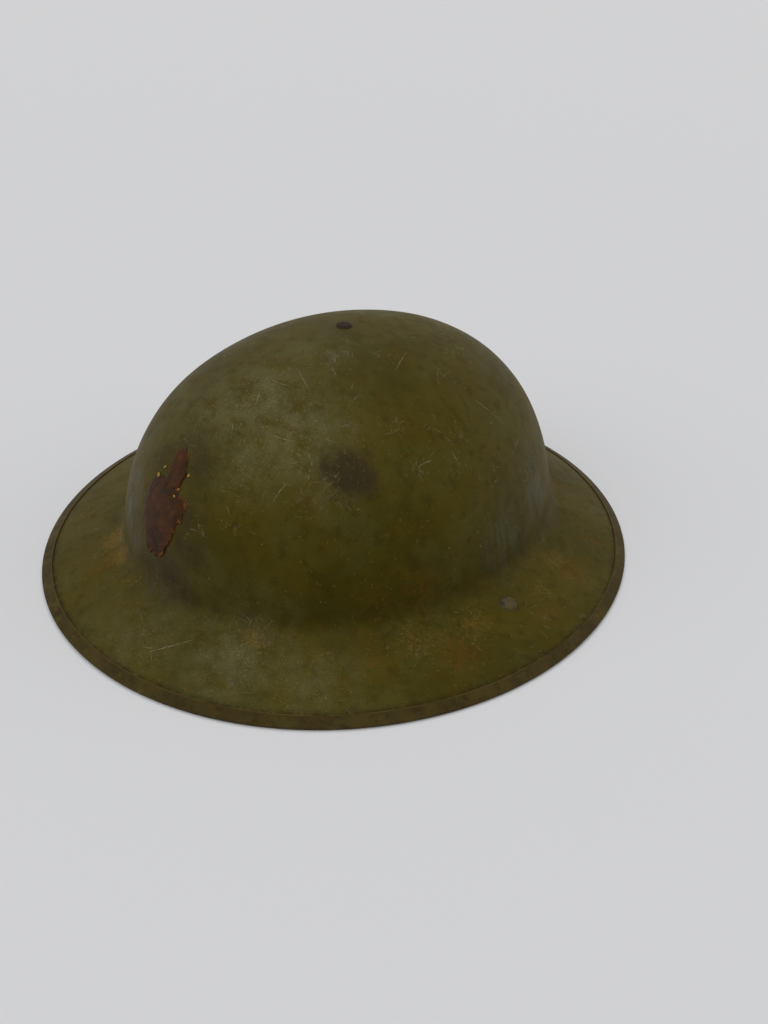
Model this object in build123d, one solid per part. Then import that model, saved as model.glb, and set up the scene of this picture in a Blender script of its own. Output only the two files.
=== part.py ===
"""Steel helmet with a shallow bowl, a wide brim, a banded rim, a net liner and a chin strap.

Millimetres. The rim rests on Z = 0 with its middle at the origin, the front is -Y,
the wearer's left is +X and the crown points to +Z.
"""
import math
import os

from build123d import *

# Steel shell
sheet = 0.9
crown_height = 112.0
bowl_half_width = 100.7
bowl_half_length = 117.7
bowl_foot_height = 8.5
bowl_setback = 2.3
side_round_share = 0.139
end_square_share = 0.286
crown_power_share = 0.938
crown_turn = math.radians(89.3)
bowl_steps = 12

# Brim: it leaves the bowl at crease_height and droops to the rim
rim_half_width = 146.5
rim_half_length = 155.0
crease_height = 15.5
crease_fillet_rise = 9.0
crease_fillet_share = 0.2
brim_run_share = 0.53
brim_drop_share = 0.33
brim_edge_slope = 24.0
crease_steps = 4
brim_steps = 3

# Rim band: a strip folded over the sheet's edge, with a flattened foot
band_strip = 0.6
band_leg = 5.0
band_gap = 0.05
band_fold_corner = 0.35
band_foot_drop = 0.95
band_joint_gap = 0.6

# Liner
hood_cloth = 1.0
hood_gap = 0.4
hood_hem_gap = 0.107
headband_foot = 14.0
headband_height = 36.0
headband_leather = 1.8
headband_steps = 3
net_seat_gap = 0.3
crown_room = 15.7
net_twine = 1.6
net_hole_radius = 15.0
net_top_turn = math.radians(82)
net_steps = 8
drawstring_twine = 3.0
twine_sides = 6
pad_radius = 40.0
pad_hole_radius = 11.0
pad_gap = 0.4
pad_steps = 4
tube_count = 12
tube_diameter = 10.2
tube_bore = 5.2
tube_length = 32.0
tube_rise = 2.0
tube_top_gap = 0.5
tube_end_gap = 2.4
tube_foot_gap = 4.3
tube_sides = 16

# Split rivets: domed head, round shank and two legs spread flat
crown_head_diameter = 8.0
crown_head_height = 1.9
bail_head_diameter = 9.0
bail_head_height = 2.0
rivet_shank = 4.2
rivet_hole_gap = 0.2
rivet_leg_length = 5.0
rivet_leg_width = 3.2
rivet_leg_sheet = 0.8
washer_diameter = 18.0
washer_sheet = 1.2
washer_gap = 0.1
cap_turns = [math.radians(angle) for angle in (0, 35, 65, 90)]

# Bails and their brackets
bail_rivet_gap = 0.1
bail_wire = 2.5
bail_inset = 1.2
bail_bar_drop = 6.437
bail_corner = 2.0
bail_side_gap = 1.0
wire_bends = 3
eye_inset = 9.9
bracket_width = 10.0
bracket_sheet = 0.8
bracket_gap = 0.15
eye_gap = 0.08
bracket_end = 6.0
bracket_wrap = 60.0
bracket_return = 30.0

# Chin strap, drawn from the left bail; the right one is its mirror image
strap_width = 19.0
strap_leather = 2.0
strap_gap = 0.2
strap_wall_gap = 1.2
strap_bend_radius = 28.0
strap_crown_radius = 44.0
bend_run_share = 0.95
strap_foot_angle = 3.0
strap_shoulder_angle = 42.0
strap_crown_angle = 70.0
short_strap_run = 38.0
fold_length = 18.0
fold_taper = 7.0
fold_radius = 6.0
doubling_radius = 3.0
doubling_shoulder_gap = 3.6
doubling_crown_gap = 5.2
doubling_join_height = 46.0
doubled_end_height = 31.0
strap_rivet_place = 12.5
strap_rivet_shank = 3.0
strap_rivet_gap = 0.05
strap_rivet_head = 6.0
strap_rivet_head_height = 0.5
buckle_wire = 2.2
buckle_middle_bar = 1.8
buckle_length = 20.0
buckle_corner = 2.0
buckle_tilt = 15.0
keeper_leather = 1.2
keeper_length = 8.0
keeper_gap = 0.25
keeper_height = 39.0

overrun = 5.0


# Bowl and brim: one list of elliptical stations from the crown to the rim

def turn_at(height):
    """Angle of the bowl's curve at a height: 0 at its foot, a quarter turn at the crown."""
    share = (height - bowl_foot_height) / (crown_height - bowl_foot_height)
    return math.asin(share ** (1 / crown_power_share))


def bowl_station(turn):
    """Half width, half length, centre in Y and height of the bowl at one angle."""
    spread = math.cos(turn)
    width = bowl_half_width * spread ** (1 + side_round_share * spread)
    swell = spread ** (1 - end_square_share * spread)
    rise = (crown_height - bowl_foot_height) * math.sin(turn) ** crown_power_share
    return (width, bowl_half_length * swell, bowl_setback * swell, bowl_foot_height + rise)


def bowl_stations(lowest):
    """Stations from just beside the crown down to a height, at the same turns in every dome."""
    crease_turn = turn_at(crease_height + crease_fillet_rise)
    step = (crown_turn - crease_turn) / bowl_steps
    turns = [crown_turn - step * count for count in range(bowl_steps + 1)]
    kept = [turn for turn in turns if bowl_station(turn)[3] > lowest + sheet]
    return [bowl_station(turn) for turn in kept + [turn_at(lowest)]]


def edge_middle():
    """Half width, half length and height of the middle of the sheet at its edge."""
    slope = math.radians(brim_edge_slope)
    half_band = sheet / 2 + band_gap + band_strip
    fold = band_gap + band_strip
    reach = fold * math.cos(slope) + (half_band - band_fold_corner) * math.sin(slope)
    return (rim_half_width - reach, rim_half_length - reach, band_foot_drop)


def edge_station(along, across):
    """Ellipse of the rim: along the brim outwards and across the sheet upwards from its edge."""
    slope = math.radians(brim_edge_slope)
    width, length, height = edge_middle()
    out = along * math.cos(slope) + across * math.sin(slope)
    up = across * math.cos(slope) - along * math.sin(slope)
    return (width + out, length + out, 0, height + up)


def blend(a, b, share):
    return tuple(p + (q - p) * share for p, q in zip(a, b))


def brim_station(share):
    """Station on the brim's top: 0 at the crease, 1 where the rim's straight land begins."""
    crease = bowl_station(turn_at(crease_height))
    land = edge_station(-(band_leg + band_fold_corner), sheet / 2)
    run = 2 * share * (1 - share) * brim_run_share + share ** 2
    drop = 2 * share * (1 - share) * brim_drop_share + share ** 2
    spread = blend(crease, land, run)
    return (spread[0], spread[1], spread[2], crease[3] + (land[3] - crease[3]) * drop)


def crease_station(share):
    """Station on the hollow curve that joins the bowl's wall to the brim."""
    wall = bowl_station(turn_at(crease_height + crease_fillet_rise))
    crease = bowl_station(turn_at(crease_height))
    brim = brim_station(crease_fillet_share)
    return blend(blend(wall, crease, share), blend(crease, brim, share), share)


def shell_stations():
    """The shell's top surface from the crown to the land under the rim band."""
    bowl = bowl_stations(crease_height + crease_fillet_rise)
    crease = [crease_station(step / crease_steps) for step in range(1, crease_steps)]
    return bowl + crease + brim_stations()


def brim_stations():
    """Stations on the brim's top from the end of the hollow crease to the rim's land."""
    spread = (1 - crease_fillet_share) / brim_steps
    return [brim_station(crease_fillet_share + spread * step) for step in range(brim_steps + 1)]


def inset(stations, depth):
    """Move each station inwards, square to the average profile, by a depth."""
    moved = []
    for place, station in enumerate(stations):
        before = stations[max(place - 1, 0)]
        after = stations[min(place + 1, len(stations) - 1)]
        run = (after[0] + after[1] - before[0] - before[1]) / 2
        fall = before[3] - after[3]
        span = math.hypot(run, fall)
        inward, down = depth * fall / span, depth * run / span
        moved.append((station[0] - inward, station[1] - inward, station[2], station[3] - down))
    return moved


def ring(station):
    """Ellipse wire at a station, its start always at the back."""
    width, length, middle, height = station
    plane = Plane(origin=(0, middle, height), x_dir=(0, 1, 0), z_dir=(0, 0, 1))
    return Wire(Edge.make_ellipse(length, width, plane))


def hoop(stations):
    """Closed ring whose cross-section has its corners on the given ellipses."""
    skins = []
    for first, last in zip(stations, stations[1:] + stations[:1]):
        skins += Shell.make_loft([ring(first), ring(last)], ruled=True).faces()
    return Solid(Shell(skins))


def profile_at(stations, reach):
    """Height and slope angle beside the middle, at a distance from it, of the form on the stations."""
    count = sum(station[0] < reach for station in stations[1:-1])
    inner, outer = stations[count], stations[count + 1]
    run, fall = outer[0] - inner[0], inner[3] - outer[3]
    return inner[3] - fall * (reach - inner[0]) / run, math.atan2(fall, run)


def bail_rivet_reach():
    """Distance of a bail rivet from the middle: its head sits just outside the hollow crease."""
    return brim_station(crease_fillet_share)[0] + bail_rivet_gap + bail_head_diameter / 2


def side_plane(side):
    """Frame of a bail rivet: origin on the brim's top, Z out of the sheet, X down the slope."""
    reach = bail_rivet_reach()
    height, slope = profile_at(brim_stations(), reach)
    out = (side * math.cos(slope), 0, -math.sin(slope))
    up = (side * math.sin(slope), 0, math.cos(slope))
    return Plane(origin=(side * reach, 0, height), x_dir=out, z_dir=up)


def shell():
    """One pressed sheet: bowl, hollow crease, brim and the straight land under the rim band."""
    land = -(band_leg + band_fold_corner)
    top = shell_stations()
    bottom = inset(top, sheet)
    bottom[-1] = edge_station(land, -sheet / 2)
    edge_top, edge_bottom = edge_station(0, sheet / 2), edge_station(0, -sheet / 2)
    body = hoop([*top, edge_top, edge_bottom, *reversed(bottom)])
    hole = rivet_shank / 2 + rivet_hole_gap
    body -= Pos(0, 0, crown_height) * Cylinder(hole, 2 * overrun)
    for side in (-1, 1):
        body -= side_plane(side) * Cylinder(hole, 2 * overrun)
    return body


def rim_band():
    """U-shaped strip round the edge, its foot flattened where the helmet rests."""
    slot = sheet / 2 + band_gap
    half = slot + band_strip
    fold = band_gap + band_strip
    flat = fold - band_fold_corner
    corner = half - band_fold_corner
    section = [(-band_leg, half), (flat, half), (fold, corner), (fold, -corner), (flat, -half),
               (-band_leg, -half), (-band_leg, -slot), (band_gap, -slot), (band_gap, slot),
               (-band_leg, slot)]
    strip = hoop([edge_station(*point) for point in section])
    under = Pos(0, 0, -rim_half_length) * Box(
        2 * rim_half_length + overrun, 2 * rim_half_length + overrun, 2 * rim_half_length)
    reach = 2 * (band_leg + overrun)
    joint = Pos(0, rim_half_length, 0) * Box(band_joint_gap, reach, reach)
    return strip - under - joint


# Rivets

def cap(diameter, height):
    """Low dome that stands on Z = 0."""
    reach = diameter / 2
    arch = [(reach * math.cos(turn), height * math.sin(turn)) for turn in cap_turns]
    return revolve(Plane.XZ * make_face(Polyline((0, 0), *arch, close=True)))


def split_rivet(head_diameter, head_height, grip):
    """Domed head on Z = 0, shank down through the grip, two legs spread flat under it."""
    shank = Pos(0, 0, -grip / 2) * Cylinder(rivet_shank / 2, grip)
    plate = extrude(SlotOverall(2 * rivet_leg_length, rivet_leg_width), rivet_leg_sheet)
    legs = Pos(0, 0, -grip - rivet_leg_sheet) * plate
    split = Pos(0, 0, -grip - rivet_leg_sheet) * Box(
        rivet_leg_sheet / 2, rivet_leg_width + overrun, rivet_leg_sheet)
    return cap(head_diameter, head_height) + shank + legs - split


def crown_grip():
    return sheet + hood_gap + hood_cloth + washer_sag() + washer_gap + washer_sheet


def washer_sag():
    """How far the hood's dome falls away under the washer's edge."""
    return crown_height - profile_at(bowl_stations(hood_hem()), washer_diameter / 2)[0]


def crown_rivet():
    rivet = split_rivet(crown_head_diameter, crown_head_height, crown_grip())
    return Pos(0, 0, crown_height) * rivet


def crown_washer():
    plate = Cylinder(washer_diameter / 2, washer_sheet)
    plate -= Cylinder(rivet_shank / 2 + rivet_hole_gap, 2 * washer_sheet)
    return Pos(0, 0, crown_height - crown_grip() + washer_sheet / 2) * plate


def bracket_sag():
    """How far the brim falls away from the rivet's plane over the length of the bracket."""
    frame, stations = side_plane(1), shell_stations()
    inner, outer = bail_rivet_reach() - eye_inset, bail_rivet_reach() + bracket_end
    corners = [station[0] for station in stations if inner < station[0] < outer]
    places = [Vector(reach, 0, profile_at(stations, reach)[0]) for reach in (inner, *corners, outer)]
    return max(0, -min(frame.to_local_coords(place).Z for place in places))


def bracket_depth():
    """From the brim's top at the rivet down to the top of the bracket."""
    return sheet + bracket_gap + bracket_sag()


def bracket_grip():
    return bracket_depth() + 2 * bracket_sheet + bracket_gap


def bail_rivet(side):
    rivet = split_rivet(bail_head_diameter, bail_head_height, bracket_grip())
    return side_plane(side) * Rot(0, 0, 90) * rivet


# Liner

def hood_hem():
    """Height of the hood's hem, just above the brackets' folds."""
    return eye()[1] + bail_wire / 2 + eye_gap + bracket_sheet + hood_hem_gap


def liner_hood():
    """Oilcloth dome close under the bowl."""
    stations = bowl_stations(hood_hem())
    top = inset(stations, sheet + hood_gap)
    bottom = inset(stations, sheet + hood_gap + hood_cloth)
    cloth = hoop([*top, *reversed(bottom)])
    return cloth - Pos(0, 0, crown_height) * Cylinder(rivet_shank / 2 + rivet_hole_gap, 2 * overrun)


def hood_inside(height):
    """Half width and half length inside the hood at a height."""
    width, length, _, _ = bowl_station(turn_at(height))
    depth = sheet + hood_gap + hood_cloth
    return width - depth, length - depth


def headband_top():
    return headband_foot + headband_height


def headband_station(height, depth):
    """Ellipse on the headband, a cone with room for the tubes outside it: depth 0 is its inner face."""
    wall = tube_diameter + headband_leather
    foot = hood_inside(headband_foot)[0] - wall - tube_foot_gap
    top = hood_inside(headband_top())[0] - wall - tube_top_gap
    top_length = hood_inside(headband_top())[1] - wall - tube_end_gap
    width = foot + (top - foot) * (height - headband_foot) / headband_height
    return (width + depth, top_length * width / top + depth, bowl_setback, height)


def headband():
    heights = [headband_foot + headband_height * step / headband_steps
               for step in range(headband_steps + 1)]
    inside = [headband_station(height, 0) for height in heights]
    outside = [headband_station(height, headband_leather) for height in heights]
    return hoop([*inside, *reversed(outside)])


def net_foot():
    return headband_top() + net_seat_gap


def net_rise():
    """Height of the net's dome, with room for the pad between it and the hood."""
    return crown_height - sheet - hood_gap - hood_cloth - crown_room - net_foot()


def net_station(turn, depth):
    """Ellipse on the net at an angle up its curve: depth 0 is its inner face."""
    seat = headband_leather - net_twine - net_seat_gap
    width, length, setback, _ = headband_station(headband_top(), seat + depth)
    height = net_foot() + (net_rise() + depth) * math.sin(turn)
    return (width * math.cos(turn), length * math.cos(turn), setback, height)


def net_stations(depth):
    return [net_station(net_top_turn * (1 - step / net_steps), depth) for step in range(net_steps + 1)]


def liner_net():
    """Twine net as one thin dome, gathered round an open middle."""
    cloth = hoop([*net_stations(net_twine), *reversed(net_stations(0))])
    return cloth - Pos(0, bowl_setback, net_foot() + net_rise()) * Cylinder(net_hole_radius, net_rise())


def net_drawstring():
    """Twine ring that closes the net's middle."""
    ring_radius = net_hole_radius - drawstring_twine / 2 - net_seat_gap
    share = net_hole_radius / headband_station(headband_top(), 0)[0]
    height = net_foot() + net_rise() * math.sqrt(1 - share ** 2)
    cord = Pos(ring_radius, height, 0) * RegularPolygon(drawstring_twine / 2, twine_sides)
    return Pos(0, bowl_setback, 0) * revolve(Plane.XZ * cord)


def crown_pad():
    """Felt cushion between the hood and the net, cut away round the rivet."""
    roof = inset(bowl_stations(hood_hem()), sheet + hood_gap + hood_cloth + pad_gap)
    floor = [(length + middle, length, middle, height)
             for _, length, middle, height in net_stations(net_twine + pad_gap)]
    spread = (pad_radius - pad_hole_radius) / pad_steps
    reaches = [pad_hole_radius + spread * step for step in range(pad_steps + 1)]
    top = [(reach, profile_at(roof, reach)[0]) for reach in reaches]
    bottom = [(reach, profile_at(floor, reach)[0]) for reach in reaches]
    return revolve(Plane.XZ * make_face(Polyline(*top, *reversed(bottom), close=True)))


def tube_centre(height, turn):
    """Middle of the gap between headband and hood, at a height and an angle round the head."""
    hood = hood_inside(height)
    band = headband_station(height, headband_leather)
    return Vector((hood[0] + band[0]) / 2 * math.cos(turn),
                  bowl_setback + (hood[1] + band[1]) / 2 * math.sin(turn), height)


def buffer_tube(turn):
    """Rubber tube that stands between headband and hood and leans with them."""
    low = headband_foot + tube_rise
    foot = tube_centre(low, turn)
    head = tube_centre(low + tube_length, turn)
    wall = RegularPolygon(tube_diameter / 2, tube_sides) - RegularPolygon(tube_bore / 2, tube_sides)
    tube = extrude(wall, tube_length / 2, both=True)
    return Plane(origin=(foot + head) * 0.5, z_dir=head - foot) * tube


# Bails and brackets, drawn for the wearer's left and mirrored for the right

def on_side(solid, side):
    return solid if side > 0 else mirror(solid, about=Plane.YZ)


def left_of(way):
    return Vector(-way.Y, way.X)


def beside(edge, depth):
    """The same run or bend, moved to its left by a depth."""
    first, middle, last = (edge @ place + left_of(edge % place) * depth for place in (0, 0.5, 1))
    return Line(first, last) if edge.geom_type == GeomType.LINE else ThreePointArc(first, middle, last)


def band_of(path, thickness, width):
    """Strip along a path drawn in X and Z, as wide in Y as given."""
    section = Sketch()
    for edge in path.edges():
        left, right = beside(edge, thickness / 2), beside(edge, -thickness / 2)
        section += make_face([left, right, Line(left @ 0, right @ 0), Line(left @ 1, right @ 1)])
    return extrude(Plane.XZ * section, width / 2, both=True)


def eye():
    """Middle of the bail's pivot bar, in X and Z."""
    frame = side_plane(1)
    drop = bracket_depth() + bracket_sheet + eye_gap + bail_wire / 2
    place = frame.origin - frame.x_dir * eye_inset - frame.z_dir * drop
    return place.X, place.Z


def bracket(side):
    """Steel strip folded round the bail's bar, both ends under the rivet."""
    frame = side_plane(1)
    turn = bail_wire / 2 + eye_gap + bracket_sheet / 2
    upper = -(bracket_depth() + bracket_sheet / 2)
    lower = upper - bracket_sheet - bracket_gap / 2
    middle = -eye_inset
    wrap = math.radians(bracket_wrap)
    leave = (middle + turn * math.cos(wrap), upper - turn - turn * math.sin(wrap))
    rise = (lower - leave[1]) / math.tan(math.radians(bracket_return))
    path = Wire.combine([
        Line((bracket_end, upper), (middle, upper)),
        CenterArc((middle, upper - turn), turn, 90, 270 - bracket_wrap),
        *FilletPolyline(leave, (leave[0] + rise, lower), (bracket_end, lower),
                        radius=[bracket_sheet]).edges()])[0]
    strip = extrude(trace(path, bracket_sheet), bracket_width / 2, both=True)
    placed = Plane(origin=frame.origin, x_dir=frame.x_dir, z_dir=(0, -1, 0)) * strip
    hole = rivet_shank / 2 + rivet_hole_gap
    return on_side(placed - frame * Cylinder(hole, 2 * overrun), side)


def bail_bar():
    """Middle of the bail's strap bar, inside the headband and below its foot, in X and Z."""
    return headband_station(headband_foot, 0)[0] - bail_inset, headband_foot - bail_bar_drop


def wire_loop(length, inner_width, wire, corner):
    """Closed loop of round wire from the origin along X, its bars along Y."""
    reach, side = length / 2 - corner, (inner_width + wire) / 2 - corner
    bends = []
    for quarter, (x, y) in enumerate(((reach, side), (-reach, side), (-reach, -side), (reach, -side))):
        for step in range(wire_bends + 1):
            turn = math.pi / 2 * (quarter + step / wire_bends)
            bends.append((length / 2 + x + corner * math.cos(turn), y + corner * math.sin(turn)))
    start = Plane(origin=(length, 0, 0), z_dir=(0, 1, 0))
    path = Polyline((length, 0), *bends, close=True)
    return sweep(start * Circle(wire / 2), path=path.wire(), transition=Transition.RIGHT)


def bail(side):
    """Wire loop from the bracket's eye to the strap."""
    across, height = eye()
    bar_across, bar_height = bail_bar()
    frame = Plane(origin=(across, 0, height), x_dir=(bar_across - across, 0, bar_height - height),
                  z_dir=(height - bar_height, 0, bar_across - across))
    length = math.hypot(across - bar_across, height - bar_height)
    loop = wire_loop(length, strap_width + 2 * bail_side_gap, bail_wire, bail_corner)
    return on_side(frame * loop, side)


# Chin strap

def bent(*points, radius):
    """Run through the points with rounded corners, the bends cut down where a run is too short."""
    runs = [after - before for before, after in zip(points, points[1:])]
    reaches = [bend * math.tan(math.radians(before.get_angle(after)) / 2)
               for bend, before, after in zip(radius, runs, runs[1:])]
    taken = [before + after for before, after in zip([0, *reaches], [*reaches, 0])]
    share = min([1, *(bend_run_share * run.length / reach for run, reach in zip(runs, taken))])
    return FilletPolyline(*points, radius=[bend * share for bend in radius])


def inside_dome(depth):
    """Half width, foot and rise of a curve at a depth inside the net, over the middle."""
    return net_station(0, -depth)[0], net_foot(), net_rise() - depth


def dome_point(angle, depth):
    width, foot, rise = inside_dome(depth)
    turn = math.radians(angle)
    return Vector(width * math.cos(turn), foot + rise * math.sin(turn))


def dome_corner(first, last, depth):
    """Where the tangents to the curve inside the net at two angles meet."""
    width, foot, rise = inside_dome(depth)
    middle, half = math.radians(first + last) / 2, math.radians(last - first) / 2
    stretch = 1 / math.cos(half)
    return Vector(width * math.cos(middle) * stretch, foot + rise * math.sin(middle) * stretch)


def strap_depth():
    """Depth of the strap's middle inside the net, with room for its end folded outside it."""
    return strap_wall_gap + strap_leather + strap_gap + strap_leather / 2


def strap_foot():
    """Start of the strap's main run beside the bail's bar, its direction and the way outwards."""
    bar = Vector(*bail_bar())
    turn = bail_wire / 2 + strap_gap + strap_leather / 2
    corner = dome_corner(strap_foot_angle, strap_shoulder_angle, strap_depth())
    way = (corner - bar + Vector(turn, 0)).normalized()
    out = -left_of(way)
    return bar - out * turn, way, out


def fold(start, way, out, turn):
    """Edges of a loop round a bar at the start of a run, its end folded back along the run."""
    layer = strap_leather + strap_gap
    lay = bent(start + way * fold_length + out * layer, start + way * fold_taper + out * layer,
               start + out * 2 * turn, radius=[fold_radius])
    centre = start + out * turn
    first = math.degrees(math.atan2(out.Y, out.X))
    sweep_angle = -180 if out.cross(way).Z > 0 else 180
    return [*lay.edges(), CenterArc(centre, turn, first, sweep_angle)]


def short_end():
    """End of the short strap's run at the buckle, the way back and the way inwards."""
    corner = dome_corner(strap_foot_angle, strap_shoulder_angle, strap_depth())
    way = (dome_point(strap_shoulder_angle, strap_depth()) - corner).normalized()
    return corner + way * short_strap_run, -way, left_of(way)


def strap_rivets(places):
    """Small rivets through two layers: each place is a middle point and the way through."""
    grip = 2 * strap_leather + strap_gap
    rivets = []
    for middle, through in places:
        frame = Plane(origin=(middle.X, 0, middle.Y), z_dir=(through.X, 0, through.Y))
        heads = Cylinder(strap_rivet_head / 2, grip + 2 * strap_rivet_head_height)
        heads -= Cylinder(strap_rivet_head, grip)
        rivets.append(frame * (heads + Cylinder(strap_rivet_shank / 2, grip)))
    return rivets


def strap_rivet_holes(places):
    holes = []
    for middle, through in places:
        frame = Plane(origin=(middle.X, 0, middle.Y), z_dir=(through.X, 0, through.Y))
        reach = 2 * strap_leather + overrun
        holes.append(frame * Cylinder(strap_rivet_shank / 2 + strap_rivet_gap, reach))
    return holes


def rivet_place(start, way, out):
    return start + way * strap_rivet_place + out * (strap_leather + strap_gap) / 2, out


def short_rivet_places():
    return [rivet_place(*strap_foot()), rivet_place(*short_end())]


def long_rivet_places():
    return [rivet_place(*strap_foot())]


def buckle_turn():
    return buckle_wire / 2 + strap_gap + strap_leather / 2


def short_strap():
    """Leather strap with a fold round the bail and a fold round the buckle."""
    start, way, out = strap_foot()
    end, back, inwards = short_end()
    corner = dome_corner(strap_foot_angle, strap_shoulder_angle, strap_depth())
    run = bent(start, corner, end, radius=[strap_bend_radius])
    path = Wire.combine([*fold(start, way, out, bail_wire / 2 + strap_gap + strap_leather / 2),
                         *run.edges(), *fold(end, back, inwards, buckle_turn())])[0]
    leather = band_of(path, strap_leather, strap_width)
    for hole in strap_rivet_holes(short_rivet_places()):
        leather -= hole
    return leather


def along_main(height):
    """Point on the straight foot of the strap at a height."""
    start, way, out = strap_foot()
    return start + way * ((height - start.Y) / way.Y)


def long_strap():
    """Leather strap folded round the bail, run up inside the net and doubled back."""
    start, way, out = strap_foot()
    layer = strap_leather + strap_gap
    depth = strap_depth()
    shoulder = dome_corner(strap_foot_angle, strap_shoulder_angle, depth)
    crown = dome_corner(strap_shoulder_angle, strap_crown_angle, depth)
    top = dome_point(strap_crown_angle, depth)
    ahead = (top - crown).normalized()
    inwards = left_of(ahead)
    first = math.degrees(math.atan2(-inwards.Y, -inwards.X))
    turn = CenterArc(top + inwards * doubling_radius, doubling_radius, first, 180)
    back = bent(
        top + inwards * 2 * doubling_radius,
        dome_corner(strap_shoulder_angle, strap_crown_angle, depth + doubling_crown_gap),
        dome_corner(strap_foot_angle, strap_shoulder_angle, depth + doubling_shoulder_gap),
        along_main(doubling_join_height) - out * layer,
        along_main(doubled_end_height) - out * layer,
        radius=[strap_crown_radius, strap_bend_radius - layer, strap_crown_radius])
    run = bent(start, shoulder, crown, top, radius=[strap_bend_radius, strap_crown_radius])
    path = Wire.combine([*fold(start, way, out, bail_wire / 2 + strap_gap + strap_leather / 2),
                         *run.edges(), turn, *back.edges()])[0]
    leather = band_of(path, strap_leather, strap_width)
    for hole in strap_rivet_holes(long_rivet_places()):
        leather -= hole
    return leather


def keeper():
    """Leather loop round both layers of the long strap."""
    start, way, out = strap_foot()
    middle = along_main(keeper_height) - out * (strap_leather + strap_gap) / 2
    frame = Plane(origin=(middle.X, 0, middle.Y), x_dir=(out.X, 0, out.Y), z_dir=(way.X, 0, way.Y))
    thick = 2 * strap_leather + strap_gap + 2 * keeper_gap
    wide = strap_width + 2 * keeper_gap
    loop = Box(thick + 2 * keeper_leather, wide + 2 * keeper_leather, keeper_length)
    loop = fillet(loop.edges().filter_by(Axis.Z), keeper_leather)
    return frame * (loop - Box(thick, wide, 2 * keeper_length))


def buckle():
    """Wire slide: one end bar in the strap's fold, one bar across the middle."""
    end, back, inwards = short_end()
    bar = end + inwards * buckle_turn()
    tilt = math.radians(buckle_tilt)
    frame = Plane(origin=(bar.X, 0, bar.Y), x_dir=(-math.cos(tilt), 0, math.sin(tilt)),
                  z_dir=(math.sin(tilt), 0, math.cos(tilt)))
    width = strap_width + 2 * bail_side_gap
    loop = wire_loop(buckle_length, width, buckle_wire, buckle_corner)
    bar_turned = Rot(90, 0, 0) * Cylinder(buckle_middle_bar / 2, width + buckle_wire)
    return frame * (loop + Pos(buckle_length / 2, 0, 0) * bar_turned)


def nodes():
    """Every piece by name."""
    pieces = {
        "shell": shell(), "rim_band": rim_band(), "crown_rivet": crown_rivet(),
        "crown_washer": crown_washer(), "liner_hood": liner_hood(), "headband": headband(),
        "liner_net": liner_net(), "net_drawstring": net_drawstring(), "crown_pad": crown_pad(),
    }
    for count in range(tube_count):
        turn = math.tau * (count + 0.5) / tube_count
        pieces[f"buffer_tube_{count + 1:02d}"] = buffer_tube(turn)
    for side, word in ((1, "left"), (-1, "right")):
        pieces[f"bail_rivet_{word}"] = bail_rivet(side)
        pieces[f"bail_bracket_{word}"] = bracket(side)
        pieces[f"bail_{word}"] = bail(side)
    pieces["chinstrap_left"] = short_strap()
    pieces["strap_rivets_left"] = Compound(children=strap_rivets(short_rivet_places()))
    pieces["strap_buckle"] = buckle()
    pieces["chinstrap_right"] = on_side(long_strap(), -1)
    pieces["strap_rivet_right"] = on_side(strap_rivets(long_rivet_places())[0], -1)
    pieces["strap_keeper"] = on_side(keeper(), -1)
    return pieces


def main():
    os.makedirs("parts", exist_ok=True)
    for name, piece in nodes().items():
        export_step(piece, f"parts/{name}.step")
    print("bail pivot", eye(), "strap pivot", bail_bar())
    end, back, inwards = short_end()
    print("buckle pivot", end + inwards * buckle_turn(), "strap foot", strap_foot())


if __name__ == "__main__":
    main()
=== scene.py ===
"""Looks of a worn steel helmet with a wide brim, a net liner and a leather chin strap.

Sizes are named in millimetres, as in the CAD, and turn to metres where a mesh is made.
The front is -Y, the wearer's left is +X and the rim rests on Z = 0.
"""
import math
import random

import bmesh
import bpy
import numpy as np
from mathutils import Matrix, Vector, noise
from mathutils.bvhtree import BVHTree


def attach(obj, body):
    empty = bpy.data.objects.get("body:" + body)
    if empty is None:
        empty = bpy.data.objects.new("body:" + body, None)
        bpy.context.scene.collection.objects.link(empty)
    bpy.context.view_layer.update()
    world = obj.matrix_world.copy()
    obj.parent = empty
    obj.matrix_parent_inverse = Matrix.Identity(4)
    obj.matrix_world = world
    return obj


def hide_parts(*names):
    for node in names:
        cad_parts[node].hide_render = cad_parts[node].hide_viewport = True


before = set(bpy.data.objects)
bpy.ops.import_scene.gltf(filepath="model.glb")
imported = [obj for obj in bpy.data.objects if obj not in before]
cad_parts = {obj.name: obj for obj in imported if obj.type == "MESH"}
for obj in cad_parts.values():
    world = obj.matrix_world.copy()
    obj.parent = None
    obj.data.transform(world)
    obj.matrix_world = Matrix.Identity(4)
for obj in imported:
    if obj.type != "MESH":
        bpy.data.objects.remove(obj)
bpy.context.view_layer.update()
chance = random.Random(7)

MM = 0.001

# Steel shell and rim, as in the CAD
SHEET = 0.9
CROWN_HEIGHT = 112.0
BOWL_WIDTH, BOWL_LENGTH, BOWL_FOOT, BOWL_SETBACK = 100.7, 117.7, 8.5, 2.3
SIDE_ROUND, END_SQUARE, CROWN_POWER = 0.139, 0.286, 0.938
RIM_WIDTH, RIM_LENGTH = 146.5, 155.0
CREASE_HEIGHT, FILLET_RISE, FILLET_SHARE = 15.5, 9.0, 0.2
BRIM_RUN, BRIM_DROP, EDGE_SLOPE = 0.53, 0.33, math.radians(24)
BAND_STRIP, BAND_LEG, BAND_GAP, BAND_CORNER, BAND_FOOT = 0.6, 5.0, 0.05, 0.35, 0.95
BAND_JOINT = 0.6
BAIL_RIVET = (113.6, 12.6)

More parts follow.
